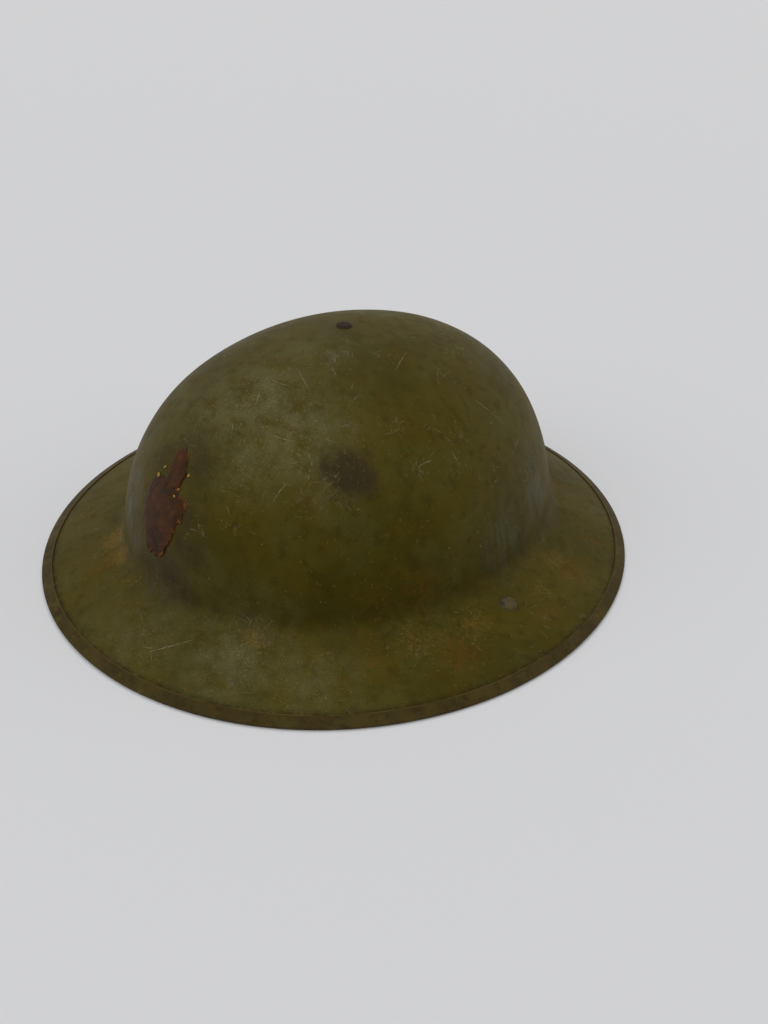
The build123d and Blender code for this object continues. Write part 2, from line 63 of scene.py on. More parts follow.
# Liner, as in the CAD
HOOD_GAP, HOOD_CLOTH, HOOD_HEM = 0.4, 1.0, 14.2
BAND_WIDTH, BAND_LENGTH, BAND_LOW, BAND_HIGH = 81.99, 99.97, 14.0, 50.0
BAND_LEAN, BAND_LEATHER = 4.457, 1.8
NET_FOOT, NET_RISE, NET_TWINE = 50.3, 43.7, 1.6
NET_WIDTH, NET_LENGTH = 77.43, 94.43
RING_RADIUS, RING_HEIGHT = 13.2, 93.17
PAD_RADIUS, PAD_HOLE, PAD_GAP = 40.0, 11.0, 0.4
TUBE_COUNT, TUBE_DIAMETER, TUBE_BORE, TUBE_LENGTH, TUBE_LOW = 12, 10.2, 5.2, 32.0, 16.0

# Strap, drawn in X and Z from the left bail, as in the CAD
STRAP_WIDTH, STRAP_LEATHER, STRAP_LAYER = 19.0, 2.0, 2.2
STRAP_FOOT, STRAP_WAY, STRAP_OUT = (78.356, 7.283), (-0.1144, 0.9934), (0.9934, 0.1144)
STRAP_SHOULDER, STRAP_END = (71.579, 66.255), (38.961, 85.749)
STRAP_BACK, STRAP_IN = (0.858, -0.513), (-0.513, -0.858)
BAIL_TURN, BUCKLE_TURN = 2.45, 2.3
FOLD_LENGTH, FOLD_TAPER = 18.0, 7.0
STRAP_BEND, CROWN_BEND, BACK_BEND, LONG_TURN = 28.0, 44.0, 25.8, 3.0
LONG_CROWN, LONG_TOP, LONG_IN = (42.09, 83.879), (24.979, 87.23), (-0.192, -0.981)
LONG_BACK = ((39.093, 79.436), (68.051, 64.793), (71.711, 45.748), (73.439, 30.748))
KEEPER_MIDDLE, KEEPER_THICK, KEEPER_WIDE = (73.61, 38.874), 4.7, 19.5
KEEPER_LEATHER, KEEPER_LENGTH = 1.2, 8.0

# Finishes
OLD_PAINT = (1.45, 0.3, "#D8CA7C")  # refraction, share of gloss, and the yellowed cast of its sheen
RIB_SCALE = 0.16  # over a pitch in metres, gives ribs about two pitches apart
GRAIN_ROUGHNESS, PORE, WEAVE = 0.6, 0.8, 0.9
SCRAPE_LIFT, WEB_SCRAPES = 0.035, 420


# Materials

def linear(code):
    """A linear colour from an sRGB hex code."""
    parts = [int(code[k:k + 2], 16) / 255 for k in (1, 3, 5)]
    return [p / 12.92 if p <= 0.04045 else ((p + 0.055) / 1.055) ** 2.4 for p in parts] + [1]


def add(tree, kind, settings=None, links=None, output=0):
    """A new node's output. Settings go by name or input number, links come from other outputs."""
    made = tree.nodes.new("ShaderNode" + kind)
    for key, value in (settings or {}).items():
        if isinstance(key, str) and hasattr(made, key):
            setattr(made, key, value)
        else:
            made.inputs[key].default_value = value
    for key, source in (links or {}).items():
        tree.links.new(source, made.inputs[key])
    return made.outputs[output]


def new_material(name, metallic, roughness, ior=1.5, gloss=0.5, cast="#FFFFFF"):
    """A material, its nodes and shader, and the link that gives a pattern the object's coordinates."""
    material = bpy.data.materials.new(name)
    material.use_nodes = True
    tree = material.node_tree
    shader = tree.nodes["Principled BSDF"]
    for socket, value in (("Metallic", metallic), ("Roughness", roughness), ("IOR", ior),
                          ("Specular IOR Level", gloss), ("Specular Tint", linear(cast))):
        shader.inputs[socket].default_value = value
    return material, tree, shader, {"Vector": add(tree, "TexCoord", output="Object")}


def cloud(size, detail):
    """Settings of a noise whose features are about size millimetres wide."""
    return {"Scale": 1 / (size * MM), "Detail": detail, "Roughness": GRAIN_ROUGHNESS}


def soft(low, high):
    """Settings that keep what rises from low to high, with soft edges."""
    return {"interpolation_type": "SMOOTHSTEP", "From Min": low, "From Max": high}


def patches(tree, at, size, detail, low, high):
    """Patches of a size in millimetres."""
    noisy = add(tree, "TexNoise", cloud(size, detail), at)
    return add(tree, "MapRange", soft(low, high), {"Value": noisy})


def strokes(tree, at, size, turn, low, high):
    """Patches drawn out into strokes: their size in millimetres along three axes, turned together."""
    laid = add(tree, "Mapping", {"vector_type": "TEXTURE", "Rotation": turn, "Scale": size}, at)
    noisy = add(tree, "TexNoise", {"Scale": 1 / MM, "Detail": 2.0}, {"Vector": laid})
    return add(tree, "MapRange", soft(low, high), {"Value": noisy})


def broken(tree, mark, cover):
    """A mark stored on the mesh's points, broken up by patches."""
    stored = add(tree, "Attribute", {"attribute_name": mark}, output="Fac")
    return add(tree, "Math", {"operation": "MULTIPLY", "use_clamp": True}, {0: stored, 1: cover})


def frayed(tree, mark, noisy, weight, low, high):
    """A stored mark with its edge frayed by a noise: what rises from low to high in the two together."""
    stored = add(tree, "Attribute", {"attribute_name": mark}, output="Fac")
    both = add(tree, "Math", {"operation": "MULTIPLY_ADD", 1: weight}, {0: noisy, 2: stored})
    return add(tree, "MapRange", soft(low, high), {"Value": both})


def tint(tree, share, under, over, strength=1):
    """Colour over laid on colour under by a share. Each is a hex code or an output."""
    if strength != 1:
        share = add(tree, "Math", {"operation": "MULTIPLY", 1: strength}, {0: share})
    settings, links = {"data_type": "RGBA"}, {0: share}
    for place, colour in ((6, under), (7, over)):
        if isinstance(colour, str):
            settings[place] = linear(colour)
        else:
            links[place] = colour
    return add(tree, "Mix", settings, links, 2)


def mottled(tree, at, colour, *layers):
    """A colour with patches over it. Each layer is (colour, size, detail, low, high, strength)."""
    for over, size, detail, low, high, strength in layers:
        colour = tint(tree, patches(tree, at, size, detail, low, high), colour, over, strength)
    return colour


def finished(tree, at, shader, colour, heights, rough=None):
    """Link a colour, bumps from (height, depth in millimetres, strength) and a roughness from
    (share, low, high). A height or share is an output, or the size and detail of a noise."""
    tree.links.new(colour, shader.inputs["Base Color"])
    if rough:
        share, low, high = rough
        if isinstance(share, tuple):
            share = add(tree, "TexNoise", cloud(*share), at)
        rough = add(tree, "MapRange", {"To Min": low, "To Max": high}, {"Value": share})
        tree.links.new(rough, shader.inputs["Roughness"])
    normal = None
    for height, depth, strength in heights:
        if isinstance(height, tuple):
            height = add(tree, "TexNoise", cloud(*height), at)
        links = {"Height": height, "Normal": normal} if normal else {"Height": height}
        normal = add(tree, "Bump", {"Distance": depth * MM, "Strength": strength}, links)
    if normal:
        tree.links.new(normal, shader.inputs["Normal"])


def simple_material(name, metallic, roughness, colour, layers, heights=(), fuzz=0.0):
    """Mottled colour over a whole piece, with bumps."""
    material, tree, shader, at = new_material(name, metallic, roughness)
    shader.inputs["Sheen Weight"].default_value = fuzz
    finished(tree, at, shader, mottled(tree, at, colour, *layers), heights)
    return material


def olive_drab_paint():
    """Brushed olive drab paint on pressed steel: matt, mottled, speckled with rust and rubbed thin, with
    painted sheen on its upper front and painted shade in its crease.
    """
    material, tree, shader, at = new_material("olive_drab_paint_on_steel", 0, 0.6, *OLD_PAINT)
    colour = mottled(tree, at, "#463C08", ("#393307", 48, 3, 0.4, 0.62, 1),
                     ("#46421A", 21, 4, 0.47, 0.63, 0.55), ("#4E3F08", 12, 5, 0.5, 0.66, 0.6),
                     ("#2A2404", 6, 5, 0.5, 0.68, 0.5))
    blotch = add(tree, "TexNoise", cloud(2.4, 5), at)
    smear = add(tree, "TexNoise", cloud(6, 5), at)
    # Upright streaks for the painted blue-grey sheen
    streaked_sheen = strokes(tree, at, (3, 3, 30), (0, 0, 0), 0.35, 0.65)
    # Over the paint: grey-olive dust under a painted sheen, a painted blue-grey sheen, rubbed tan, rust,
    # stains, and near-black grime with painted shade in the crease and along the band
    worn = [("#6B6648", 0.75, broken(tree, "dust_and_painted_sheen", patches(tree, at, 8, 6, 0.25, 0.65))),
            ("#4E4F45", 0.9, broken(tree, "painted_blue_sheen", streaked_sheen)),
            ("#6A5322", 0.75, frayed(tree, "rub", blotch, 0.9, 0.74, 1.2)),
            ("#5A3C0A", 0.65, frayed(tree, "rust", blotch, 1, 0.68, 1.05)),
            ("#2C241A", 0.88, frayed(tree, "stain", smear, 0.45, 0.5, 1.15)),
            ("#191406", 0.8, broken(tree, "grime_and_painted_shade", patches(tree, at, 4, 4, 0.3, 0.62)))]
    for over, strength, share in worn:
        colour = tint(tree, share, colour, over, strength)
    # Scuffs two ways, where the painted sheen lies or the paint is rubbed
    scuffs = add(tree, "Math", {"operation": "ADD"}, {
        0: strokes(tree, at, (7, 0.7, 0.7), (0.3, 0.5, 0.6), 0.6, 0.7),
        1: strokes(tree, at, (0.7, 8, 0.7), (0.9, 0.2, 0.4), 0.6, 0.7)})
    dust_and_painted_sheen, rub = [add(tree, "Attribute", {"attribute_name": mark}, output="Fac") for mark in ("dust_and_painted_sheen", "rub")]
    sheen_and_rub = add(tree, "Math", {"operation": "MULTIPLY_ADD", 1: 0.9}, {0: dust_and_painted_sheen, 2: rub})
    scuffs = add(tree, "Math", {"operation": "MULTIPLY", "use_clamp": True}, {0: scuffs, 1: sheen_and_rub})
    colour = tint(tree, scuffs, colour, "#8A8354", 0.45)
    colour = mottled(tree, at, colour, ("#46290A", 2.0, 4, 0.6, 0.68, 0.7),
                     ("#857A48", 1.2, 2, 0.69, 0.75, 0.7))
    finished(tree, at, shader, colour, [((30, 3), 0.5, 0.25), (blotch, 0.12, 0.4), ((0.9, 3), 0.06, 0.4)],
             ((12, 5), 0.45, 0.75))
    return material


def band_paint():
    """The same paint on the rim band, browner from handling, and rubbed along the band's inner edge."""
    material, tree, shader, at = new_material("olive_drab_paint_on_band", 0, 0.6, *OLD_PAINT)
    colour = mottled(tree, at, "#40361A", ("#352C16", 16, 4, 0.4, 0.62, 1),
                     ("#241C0C", 5, 5, 0.48, 0.68, 0.7), ("#514622", 9, 4, 0.55, 0.7, 0.7))
    lip = broken(tree, "lip", patches(tree, at, 10, 5, 0.36, 0.56))
    colour = tint(tree, lip, colour, "#5E4A26", 0.7)
    colour = mottled(tree, at, colour, ("#5A3310", 1.6, 4, 0.6, 0.68, 0.7))
    finished(tree, at, shader, colour, [((3, 5), 0.2, 0.4), ((0.9, 3), 0.08, 0.4)])
    return material


def scraped_paint(name, colour):
    """Bared undercoat, or the olive paint that still shows through it: matt, flecked, with no depth."""
    return simple_material(name, 0, 0.6, colour, [("#453F1A", 2.5, 3, 0.4, 0.6, 0.8)])


def old_lacquer():
    """A thick flake of red-brown lacquer, cracked, with ochre where it has worn thin at its edge."""
    material, tree, shader, at = new_material("crumbled_lacquer", 0, 0.6, 1.5, *OLD_PAINT[1:])
    colour = mottled(tree, at, "#3C1C12", ("#26110C", 9, 5, 0.4, 0.62, 1), ("#4E2816", 4, 6, 0.5, 0.68, 0.8))
    worn = frayed(tree, "edge", add(tree, "TexNoise", cloud(3, 5), at), 1, 1.15, 1.45)
    colour = tint(tree, worn, colour, "#74491F", 0.75)
    finished(tree, at, shader, colour, [((6, 4), 0.6, 0.6), ((1.1, 4), 0.2, 0.7)])
    return material


def worn_steel(name, colour, shine, rust=0.5, metallic=1, gloss=0.5):
    """Drawn or stamped mild steel, darkened by age, with brown rust in its pits."""
    material, tree, shader, at = new_material(name, metallic, shine, gloss=gloss)
    colour = mottled(tree, at, colour, ("#2C2723", 4, 5, 0.4, 0.7, 1))
    rusty = patches(tree, at, 1.6, 5, 0.52, 0.66)
    finished(tree, at, shader, tint(tree, rusty, colour, "#4A2C18", rust), [((0.7, 3), 0.06, 0.4)],
             (rusty, shine, shine + 0.3))
    return material


def saddle_leather(name, light, dark):
    """Vegetable-tanned leather: pebbled grain, dark in its folds, rubbed pale on its faces."""
    material, tree, shader, at = new_material(name, 0, 0.5)
    colour = mottled(tree, at, light, (dark, 14, 5, 0.35, 0.7, 1), (dark, 3, 5, 0.55, 0.75, 0.6))
    pores = add(tree, "TexVoronoi", {"Scale": 1 / (PORE * MM)}, at, "Distance")
    finished(tree, at, shader, colour, [((5, 4), 0.3, 0.4), (pores, 0.12, 0.5)], ((6, 4), 0.4, 0.62))
    return material


def twine(name, light, dark, pitch):
    """Laid linen twine: its strands show as ribs across it, with painted shade in the grooves between them,
    under a fuzz of loose fibres.
    """
    material, tree, shader, at = new_material(name, 0, 0.85)
    lay = add(tree, "TexWave", {"Scale": RIB_SCALE / (pitch * MM), "bands_direction": "DIAGONAL",
                                "Distortion": 1.0}, at, "Fac")
    # Painted shade: the colour darkens in the grooves between the strands, where the ribs' bumps are low
    colour = tint(tree, lay, dark, mottled(tree, at, light, (dark, 10, 4, 0.3, 0.7, 1)))
    shader.inputs["Sheen Weight"].default_value = 0.2
    finished(tree, at, shader, colour, [(lay, 0.3, 0.7), ((0.5, 4), 0.1, 0.5)])
    return material


def oilcloth():
    """Cotton cloth proofed with oil: near black, its weave coarsened to show, under a dull gloss."""
    material, tree, shader, at = new_material("black_oilcloth", 0, 0.45)
    colour = mottled(tree, at, "#25241F", ("#34302A", 18, 5, 0.35, 0.7, 1))
    warp, weft = [add(tree, "TexWave", {"Scale": RIB_SCALE / (WEAVE * MM), "bands_direction": way}, at, "Fac")
                  for way in ("X", "Z")]
    weave = add(tree, "Math", {"operation": "ADD"}, {0: warp, 1: weft})
    finished(tree, at, shader, colour, [(weave, 0.08, 0.35), ((9, 4), 0.6, 0.4)])
    return material


# Meshes

def piece(name, points, faces, material, body, node=None, slot=None, sharp=40):
    """An object from points in millimetres, shaded smooth up to an angle, riding on a body."""
    mesh = bpy.data.meshes.new(name)
    mesh.from_pydata([tuple(float(v) * MM for v in p) for p in points], [], faces)
    mesh.validate()
    mesh.shade_smooth()
    mesh.set_sharp_from_angle(angle=math.radians(sharp))
    made = bpy.data.objects.new(name, mesh)
    bpy.context.collection.objects.link(made)
    mesh.materials.append(material)
    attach(made, body)
    if node:
        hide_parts(node)
    return made


def outward(made):
    """Turn the faces so that they look out of the closed form."""
    work = bmesh.new()
    work.from_mesh(made.data)
    bmesh.ops.recalc_face_normals(work, faces=work.faces)
    work.to_mesh(made.data)
    work.free()
    return made


def note(made, name, values):
    """Store a value for each point, for the material to read."""
    made.data.attributes.new(name, "FLOAT", "POINT").data.foreach_set("value", values)


def turns(count):
    """Equal steps round a full turn, in radians."""
    return [math.tau * k / count for k in range(count)]


def skin(rows, around, ring=True, tube=True):
    """Quads between rows of points. A ring's last row joins its first, and a tube's rows close."""
    faces = []
    for row in range(rows if ring else rows - 1):
        below = (row + 1) % rows
        for k in range(around if tube else around - 1):
            ahead = (k + 1) % around
            faces.append((row * around + k, row * around + ahead, below * around + ahead, below * around + k))
    return faces


def rod(rows, around):
    """Faces of a tube with both ends closed."""
    ends = [list(reversed(range(around))), [(rows - 1) * around + k for k in range(around)]]
    return skin(rows, around, ring=False) + ends


def on_ring(ring, turn):
    """Point of an ellipse (half width, half length, middle, height) at a turn."""
    width, length, middle, height = ring
    return (width * math.cos(turn), middle + length * math.sin(turn), height)


def hoops(rings, around, gap=0.0):
    """Points and faces of ellipses joined in turn and back to the first, with a gap at the back if asked."""
    steps = around + 1 if gap else around
    points = [on_ring(ring, math.pi / 2 + gap / 2 + (math.tau - gap) * k / around)
              for ring in rings for k in range(steps)]
    faces = skin(len(rings), steps, tube=not gap)
    if gap:
        faces.append([row * steps for row in range(len(rings))])
        faces.append([row * steps + steps - 1 for row in reversed(range(len(rings)))])
    return points, faces


def join_up(parts):
    """One list of points and one of faces from several."""
    points, faces = [], []
    for more, sides in parts:
        first = len(points)
        points += more
        faces += [[first + k for k in face] for face in sides]
    return points, faces


def turn_at(height):
    """The bowl's station that lies at a height."""
    share = (height - BOWL_FOOT) / (CROWN_HEIGHT - BOWL_FOOT)
    return math.asin(share ** (1 / CROWN_POWER))


def bowl_ring(turn):
    """Outline of the bowl from its foot (0) to its crown (a quarter turn)."""
    spread = math.cos(turn)
    swell = spread ** (1 - END_SQUARE * spread)
    rise = (CROWN_HEIGHT - BOWL_FOOT) * math.sin(turn) ** CROWN_POWER
    return (BOWL_WIDTH * spread ** (1 + SIDE_ROUND * spread), BOWL_LENGTH * swell,
            BOWL_SETBACK * swell, BOWL_FOOT + rise)


def bowl_rings(lowest, steps, first=math.radians(88.9)):
    last = turn_at(lowest)
    return [bowl_ring(first + (last - first) * k / steps) for k in range(steps + 1)]


def edge_ring(along, across):
    """Ring at a distance along the brim from the sheet's edge, and above its middle."""
    fold = BAND_GAP + BAND_STRIP
    half = SHEET / 2 + fold
    reach = fold * math.cos(EDGE_SLOPE) + (half - BAND_CORNER) * math.sin(EDGE_SLOPE)
    out = along * math.cos(EDGE_SLOPE) + across * math.sin(EDGE_SLOPE) - reach
    up = across * math.cos(EDGE_SLOPE) - along * math.sin(EDGE_SLOPE)
    return (RIM_WIDTH + out, RIM_LENGTH + out, 0, BAND_FOOT + up)


def blend(a, b, share):
    return tuple(p + (q - p) * share for p, q in zip(a, b))


def brim_ring(share):
    """Outline of the brim from the crease (0) to the land under the rim band (1)."""
    crease = bowl_ring(turn_at(CREASE_HEIGHT))
    land = edge_ring(-(BAND_LEG + BAND_CORNER), SHEET / 2)
    run = 2 * share * (1 - share) * BRIM_RUN + share ** 2
    drop = 2 * share * (1 - share) * BRIM_DROP + share ** 2
    spread = blend(crease, land, run)
    return (spread[0], spread[1], spread[2], crease[3] + (land[3] - crease[3]) * drop)


def crease_ring(share):
    """The fillet between the bowl's wall and the brim."""
    wall = bowl_ring(turn_at(CREASE_HEIGHT + FILLET_RISE))
    crease = bowl_ring(turn_at(CREASE_HEIGHT))
    brim = brim_ring(FILLET_SHARE)
    return blend(blend(wall, crease, share), blend(crease, brim, share), share)


def inset(rings, depth):
    """The same outlines moved in by a depth, square to the wall they make."""
    moved = []
    for place, ring in enumerate(rings):
        before, after = rings[max(place - 1, 0)], rings[min(place + 1, len(rings) - 1)]
        run = (after[0] + after[1] - before[0] - before[1]) / 2
        fall = before[3] - after[3]
        span = math.hypot(run, fall)
        inward, down = depth * fall / span, depth * run / span
        moved.append((ring[0] - inward, ring[1] - inward, ring[2], ring[3] - down))
    return moved


def unevenness(points, rivets):
    """Hand-worn waves of up to 0.35 mm, none at the rivets or near the rim."""
    moved = []
    for x, y, z in points:
        near = min(math.dist((x, y, z), rivet) for rivet in rivets)
        hold = min(max((z - 5) / 12, 0), 1) * min(max((near - 10) / 15, 0), 1)
        wave = 0.35 * hold * noise.noise(Vector((x, y, z)) / 38)
        out = Vector((x, y, z - 20)).normalized() * wave
        moved.append((x + out.x, y + out.y, z + out.z))
    return moved


# Marks on the paint: a point on the steel, its radius in millimetres and its strength
MARKS = {
    # Grey-olive dust, with a painted sheen where light falls on the upper front of the bowl and on the brim
    "dust_and_painted_sheen": [((14, -64, 98), 27, 0.9), ((38, -62, 90), 24, 0.9), ((30, -82, 82), 16, 0.7),
             ((58, -59, 76), 16, 0.5), ((-12, -75, 92), 16, 0.45), ((8, -30, 109), 20, 0.4),
             ((60, -112, 10), 24, 0.7), ((20, -135, 8), 30, 0.4), ((90, -100, 8), 22, 0.5),
             ((-60, 70, 80), 22, 0.6)],
    # A painted blue-grey sheen: reflected light from the pale room, on the lower front and the sides of the
    # bowl
    "painted_blue_sheen": [((18, -23, 108), 4, 0.6), ((-27, -106, 42), 11, 1.0), ((-18, -110, 33), 11, 0.9),
             ((-25, -101, 56), 7, 0.7), ((8, -114, 28), 12, 0.6), ((87, 47, 42), 14, 0.7),
             ((80, 48, 58), 10, 0.5), ((97, 12, 34), 14, 0.5), ((-95, -20, 40), 22, 0.6)],
    "rub": [((-31, -113, 15), 9, 0.75), ((-46, -107, 14), 12, 0.7), ((-12, -119, 15), 9, 0.4),
            ((58, -102, 15), 9, 0.5), ((107, 44, 13), 11, 0.5), ((116, 21, 12), 9, 0.45),
            ((113, -22, 13), 12, 0.5), ((103, -50, 13), 14, 0.45), ((77, 95, 13), 14, 0.35),
            ((80, -2, 70), 10, 0.3), ((45, 19, 99), 12, 0.3), ((-90, -70, 12), 16, 0.45),
            ((20, 122, 14), 16, 0.4), ((-104, 30, 14), 16, 0.45)],
    "rust": [((-35, -122, 12), 14, 0.35), ((117, 45, 10), 13, 0.42), ((127, 12, 8), 12, 0.32),
             ((119, -38, 9), 16, 0.4), ((100, -70, 9), 14, 0.3), ((93, -38, 28), 14, 0.35),
             ((86, -55, 28), 12, 0.3), ((86, -33, 53), 12, 0.2), ((105, 77, 9), 14, 0.3),
             ((-70, 90, 13), 20, 0.4), ((60, 105, 20), 18, 0.35), ((-100, 30, 20), 18, 0.35),
             ((-60, -60, 88), 14, 0.3), ((-120, -40, 8), 18, 0.35)],
    "stain": [((61, -51, 78), 13, 1.1), ((55, -57, 80), 8, 0.9), ((66, -47, 75), 9, 1.0),
              ((14, -112, 30), 15, 0.8), ((24, -111, 24), 12, 0.65), ((0, -114, 30), 14, 0.6),
              ((14, -92, 76), 13, 0.7), ((113.6, 0, 12.6), 7.5, 0.5), ((-9, -95, 76), 7, 0.7),
              ((22, -107, 44), 15, 0.7), ((18, -102, 58), 14, 0.68), ((3, -88, 82), 12, 0.66),
              ((-10, -97, 70), 10, 0.7), ((-40, 60, 90), 12, 0.6), ((60, -98, 20), 6, 0.5)],
}

# Long scrapes and cracks by their two ends, and the middles of the lacquer's crumbs
LONG_SCRAPES = [
    ((27.5, -130, 10.3), (37.6, -113, 14.2)), ((31, -124, 12), (36, -116, 13.6)),
    ((12, -58, 100), (18, -66, 96)), ((30, -70, 92), (44, -62, 90)), ((50, -60, 82), (56, -68, 76)),
    ((15.8, -39.7, 105.8), (30, -44, 102)), ((6, -52, 103), (22, -48, 103.5)),
    ((19.4, -19.6, 109), (21, -27, 108)), ((45, 19, 99.4), (52, 12, 97)), ((60, 25, 88), (72, 38, 74)),
    ((75.8, 45.9, 65.7), (80, 38, 64)), ((86.8, 18.9, 58.9), (88, 10, 56)), ((15, -75, 91), (19, -79, 87)),
    ((46, -68, 81), (48, -64, 82)), ((28, -93, 70), (32, -91, 70)), ((49, -73, 75), (48, -80, 68)),
    ((17, -20, 109), (24, -26, 107)), ((75, -23, 75), (75, -13, 75)), ((75, -3, 76), (80, -2, 70)),
    ((32, 11, 106), (40, -4, 103)), ((19, -60, 98), (22, -51, 101))]
DARK_CRACKS = [
    ((56.8, -99, 15.7), (60, -106, 12.5)), ((60, -106, 12.5), (62, -110, 11)),
    ((62, -110, 11), (66.2, -115.1, 9.4)), ((50, -98, 20.5), (56, -95, 21.5)),
    ((9, -9, 111), (17, -18, 109.5))]
CRUMBS = [(-7, -101, 65), (9, -100, 64), (8, -102, 61), (-5, -99, 69), (11, -96, 70), (12, -105, 52)]


def mark_shell(shell):
    """Give each point of the shell its share of each kind of mark, and the dark line of grime and painted
    shade inside the band and in the crease.
    """
    points = np.array([tuple(v.co) for v in shell.data.vertices]) / MM
    for kind, spots in MARKS.items():
        total = np.zeros(len(points))
        for middle, radius, strength in spots:
            away = np.linalg.norm(points - np.array(middle), axis=1)
            total = np.maximum(total, strength * np.exp(-(away / radius) ** 2))
        note(shell, kind, total)
    # A thin dark line just inside the band: grime, with painted shade where the band stands up from the brim
    leg = edge_ring(-BAND_LEG, SHEET / 2)
    ratio = np.hypot(points[:, 0] / leg[0], points[:, 1] / leg[1])
    inside = (1 - ratio) * leg[0]
    grime_and_painted_shade = np.where((inside > -1) & (points[:, 2] < 12), np.exp(-(inside / 1.6) ** 2), 0)
    # Painted shade in the crease between the bowl and the brim
    crease = np.exp(-((points[:, 2] - 19) / 4.0) ** 2) * (ratio < 0.8) * 0.35
    note(shell, "grime_and_painted_shade", grime_and_painted_shade + crease)


def steel_shell(material):
    """The pressed sheet: bowl, crease, brim and the land under the rim band."""
    land = -(BAND_LEG + BAND_CORNER)
    top = bowl_rings(CREASE_HEIGHT + FILLET_RISE, 74)
    top += [crease_ring(k / 12) for k in range(1, 12)]
    top += [brim_ring(FILLET_SHARE + (1 - FILLET_SHARE) * k / 26) for k in range(27)]
    under = inset(top, SHEET)
    under[-1] = edge_ring(land, -SHEET / 2)
    rings = top + [edge_ring(0, SHEET / 2), edge_ring(0, -SHEET / 2)] + under[::-1]
    points, faces = hoops(rings, 288)
    across, height = BAIL_RIVET
    points = unevenness(points, [(0, 0, CROWN_HEIGHT), (across, 0, height), (-across, 0, height)])
    shell = outward(piece("steel_shell", points, faces, material, "helmet", "shell", "painted_steel"))
    mark_shell(shell)
    return shell


def rim_binding(material):
    """The folded strip round the rim, open at its joint at the back."""
    slot, fold = SHEET / 2 + BAND_GAP, BAND_GAP + BAND_STRIP
    half = SHEET / 2 + fold
    corner = half - BAND_CORNER
    flat = fold - BAND_CORNER
    section = [(-BAND_LEG, half - 0.15), (-BAND_LEG + 0.15, half), (-BAND_LEG + 0.7, half),
               (flat - 0.3, half)]
    for middle, steps in ((corner, range(1, 6)), (-corner, range(5, 10))):
        for step in steps:
            turn = math.radians(90 - 18 * step)
            section.append((flat + BAND_CORNER * math.cos(turn), middle + BAND_CORNER * math.sin(turn)))
    section += [(flat, -half), (-BAND_LEG, -half), (-BAND_LEG, -slot), (BAND_GAP, -slot),
                (BAND_GAP, slot), (-BAND_LEG, slot)]
    rings = [(width, length, middle, max(height, 0.0)) for width, length, middle, height
             in (edge_ring(along, across) for along, across in section)]
    around = 240
    points, faces = hoops(rings, around, gap=BAND_JOINT / RIM_LENGTH)
    binding = outward(piece("rim_binding", points, faces, material, "helmet", "rim_band", "painted_band"))
    note(binding, "lip", [1.0 if index // (around + 1) < 2 else 0.0 for index in range(len(points))])


def on_steel(tree, x, y, z, lift=0.0):
    """Nearest point of the shell's top to a rough place, lifted off it, and the way out."""
    outside = Vector((x, y, z)) + Vector((x, y, z + 10)).normalized() * 4
    spot, way, _, _ = tree.find_nearest(outside * MM)
    return spot / MM + way * lift, way


def scrapes(name, tree, lines, material, width):
    """Hairline scrapes: each is two ends on the steel, tapered and broken along its length."""
    points, faces = [], []
    for start, end in lines:
        start, end = Vector(start), Vector(end)
        steps = max(int((end - start).length / 0.8), 3)
        bow = chance.uniform(-0.06, 0.06) * (end - start).length
        row = []
        for k in range(steps + 1):
            share = k / steps
            place = start.lerp(end, share)
            spot, out = on_steel(tree, *place, SCRAPE_LIFT)
            side = out.cross((end - start).normalized()).normalized()
            spot, out = on_steel(tree, *(spot + side * bow * math.sin(math.pi * share)), SCRAPE_LIFT)
            half = width / 2 * math.sin(math.pi * min(max(share, 0.03), 0.97)) ** 0.6
            half *= 0.55 + 0.45 * noise.noise(place / 3)
            row.append((spot - side * half, spot + side * half))
        first = len(points)
        points += [tuple(spot) for pair in row for spot in pair]
        for k in range(steps):
            if noise.noise(row[k][0] / 2.2) > -0.28:
                a = first + 2 * k
                faces.append((a, a + 1, a + 3, a + 2))
    piece(name, points, faces, material, "helmet")


def chance_scrapes(tree, count):
    """Ends of short scrapes, strewn over the bowl and brim in loose webs that cross one another."""
    lines = []
    while len(lines) < count:
        turn = chance.uniform(0, math.tau)
        if chance.random() < 0.65:
            ring = bowl_ring(math.radians(chance.uniform(20, 80)))
        else:
            ring = brim_ring(chance.uniform(0.1, 0.95))
        middle = Vector(on_ring(ring, turn))
        heading, spread = chance.uniform(0, math.tau), chance.uniform(2, 9)
        for _ in range(chance.randint(2, 11)):
            nudge = Vector([chance.gauss(0, spread / 2) for _ in range(3)])
            spot, out = on_steel(tree, *(middle + nudge))
            turned = heading + chance.choice((0, 1.1, 2.0)) + chance.gauss(0, 0.25)
            way = Matrix.Rotation(turned, 3, out) @ out.orthogonal().normalized()
            lines.append((spot, spot + way * chance.uniform(1.2, 6.0)))
    return lines


